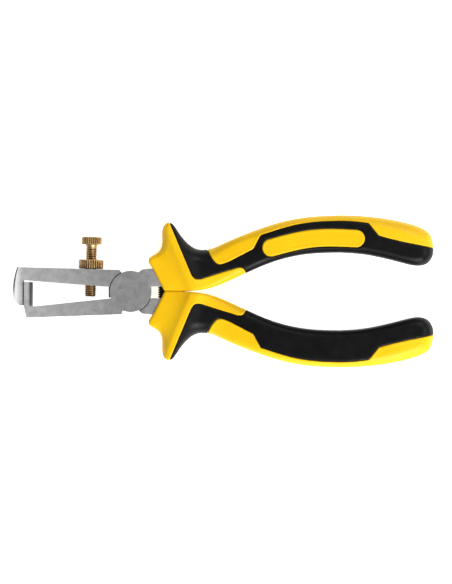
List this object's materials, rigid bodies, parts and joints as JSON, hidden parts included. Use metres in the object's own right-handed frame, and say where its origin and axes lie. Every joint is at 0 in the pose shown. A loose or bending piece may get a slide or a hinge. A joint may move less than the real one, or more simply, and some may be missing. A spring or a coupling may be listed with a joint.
{
  "type": "wire stripping pliers",
  "caption": "Wire stripping pliers with notched end blades, a knurled brass stop screw and lock nut, an opening spring and two-colour moulded grips with guards.",
  "frame": {"origin": "on the pivot axis, at the back face of the steel head", "axes": "+Z along the pivot axis towards the front of the head, +X from the jaws to the handles, +Y towards the jaw that carries the stop screw"},
  "size_m": [0.1601, 0.0578, 0.017],
  "materials": {
    "blasted_steel": "fine satin, shot blasted, with ground bright bevels on the blades",
    "black_spring_steel": "blackened, slightly oily",
    "brass": "turned and knurled, a little tarnished",
    "yellow_plastic": "moulded, soft gloss",
    "black_soft_plastic": "fine matt grain"
  },
  "bodies": {
    "back_arm": {"back_arm": "blasted_steel", "pivot_rivet": "blasted_steel", "opening_spring": "black_spring_steel", "lower_grip_core": "yellow_plastic", "lower_grip_soft": "black_soft_plastic"},
    "front_arm": {"front_arm": "blasted_steel", "upper_grip_core": "yellow_plastic", "upper_grip_soft": "black_soft_plastic"},
    "screw_lead": {"adjusting_screw_core": "brass"},
    "screw": {"adjusting_screw": "brass"},
    "nut_lead": {"lock_nut_core": "brass"},
    "nut": {"lock_nut": "brass"}
  },
  "joints": [
    {"name": "jaw_pivot", "type": "hinge", "parent": "back_arm", "child": "front_arm", "pos_m": [0, 0, 0], "axis": [0, 0, 1], "range_deg": [0, 22], "stiffness_Nm_per_rad": 0.5, "springref_deg": 25.78, "deforming": ["opening_spring"]},
    {"name": "screw_advance", "type": "slide", "parent": "back_arm", "child": "screw_lead", "axis": [0.0283, 0.9996, 0], "range_m": [-0.0011, 0.00421]},
    {"name": "screw_turn", "type": "hinge", "parent": "screw_lead", "child": "screw", "pos_m": [-0.01513, 0.00851, 0.005], "axis": [0.0283, 0.9996, 0], "range_deg": [-566, 2166]},
    {"name": "nut_advance", "type": "slide", "parent": "back_arm", "child": "nut_lead", "axis": [0.0283, 0.9996, 0], "range_m": [0, 0.002]},
    {"name": "nut_turn", "type": "hinge", "parent": "nut_lead", "child": "nut", "pos_m": [-0.01513, 0.00851, 0.005], "axis": [0.0283, 0.9996, 0], "range_deg": [0, 1029]}
  ],
  "couplings": [
    {"joint": "screw_turn", "follows": "screw_advance", "rad_per_m": 8976},
    {"joint": "nut_turn", "follows": "nut_advance", "rad_per_m": 8976}
  ]
}
